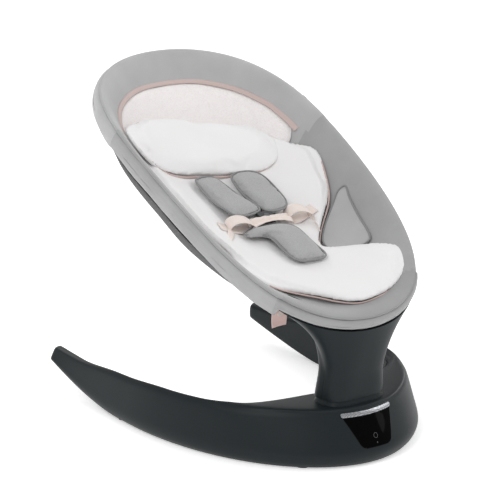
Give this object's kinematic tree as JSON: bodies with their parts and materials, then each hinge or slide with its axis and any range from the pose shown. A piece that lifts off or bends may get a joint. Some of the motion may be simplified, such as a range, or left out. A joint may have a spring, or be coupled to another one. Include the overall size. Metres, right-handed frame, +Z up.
{
  "type": "baby swing",
  "caption": "Electric baby swing: an oval padded bucket seat with harness, pillow and tube rim, on a flared column that turns on a dark crescent base with a front control panel.",
  "frame": {"origin": "middle of the bounding box at floor level, under the seat", "axes": "+Z up; the foot end of the seat and the control panel face -Y, the head end +Y; +X across"},
  "size_m": [0.5278, 0.7214, 0.6285],
  "materials": {
    "plastic": "fine satin moulding",
    "inner_plastic": "plain moulding",
    "gloss": "polished",
    "silver": "perforated satin metal",
    "steel": "plain",
    "board": "circuit board",
    "rubber": "matt",
    "grey_fabric": "short velvet nap",
    "white_fabric": "soft knit",
    "mesh": "open knitted mesh",
    "pink_trim": "bias binding",
    "pad_grey": "heather jersey",
    "webbing": "satin webbing"
  },
  "bodies": {
    "base": {"base_shell": "plastic", "base_cover": "inner_plastic", "control_panel": "gloss", "panel_strip": "silver", "control_board": "board", "speaker": "inner_plastic", "power_jack": "rubber", "ballast_plate": "steel", "foot_pad_1": "rubber", "foot_pad_2": "rubber", "foot_pad_3": "rubber", "foot_pad_4": "rubber", "cover_screw_1": "steel", "cover_screw_2": "steel", "cover_screw_3": "steel", "cover_screw_4": "steel", "bearing_housing": "inner_plastic", "upper_bearing": "steel", "lower_bearing": "steel", "gear_case": "inner_plastic", "drive_motor": "steel"},
    "seat": {"swing_shaft": "steel", "sector_gear": "inner_plastic", "column_front_shell": "plastic", "column_rear_shell": "plastic", "column_post": "steel", "yoke_bracket": "steel", "saddle_left": "inner_plastic", "saddle_right": "inner_plastic", "frame_tube_left": "steel", "frame_tube_right": "steel", "head_plug": "inner_plastic", "foot_plug": "inner_plastic", "rim_sleeve": "grey_fabric", "seat_sling": "grey_fabric", "mesh_panel": "mesh", "mesh_trim": "pink_trim", "rim_clip_1": "inner_plastic", "rim_clip_2": "inner_plastic", "cover_tag": "pink_trim", "tag_snap": "webbing", "seat_pad": "white_fabric", "head_pillow": "white_fabric", "side_gusset_left": "grey_fabric", "side_gusset_right": "grey_fabric", "shoulder_pad_left": "pad_grey", "shoulder_pad_right": "pad_grey", "crotch_pad": "pad_grey", "shoulder_strap_left": "webbing", "shoulder_strap_right": "webbing", "waist_strap_left": "webbing", "waist_strap_right": "webbing", "crotch_strap": "webbing", "ribbon_loop_left": "webbing", "ribbon_loop_right": "webbing", "harness_buckle": "plastic", "buckle_tongue_left": "plastic", "buckle_tongue_right": "plastic"},
    "pinion": {"pinion_gear": "inner_plastic"},
    "button": {"buckle_button": "inner_plastic"}
  },
  "joints": [
    {"name": "seat_swing", "type": "hinge", "parent": "base", "child": "seat", "pos_m": [0, -0.2727, 0.108], "axis": [0, 0.0698, 0.9976], "range_deg": [-12, 12]},
    {"name": "pinion_turn", "type": "hinge", "parent": "base", "child": "pinion", "pos_m": [0.0675, -0.2727, 0.108], "axis": [0, 0.0698, 0.9976], "range_deg": [-50, 50]},
    {"name": "button_press", "type": "slide", "parent": "seat", "child": "button", "axis": [0, 0.4617, -0.887], "range_m": [0, 0.003], "stiffness_N_per_m": 400, "springref_m": -0.001}
  ],
  "couplings": [
    {"joint": "pinion_turn", "follows": "seat_swing", "ratio": -4}
  ]
}
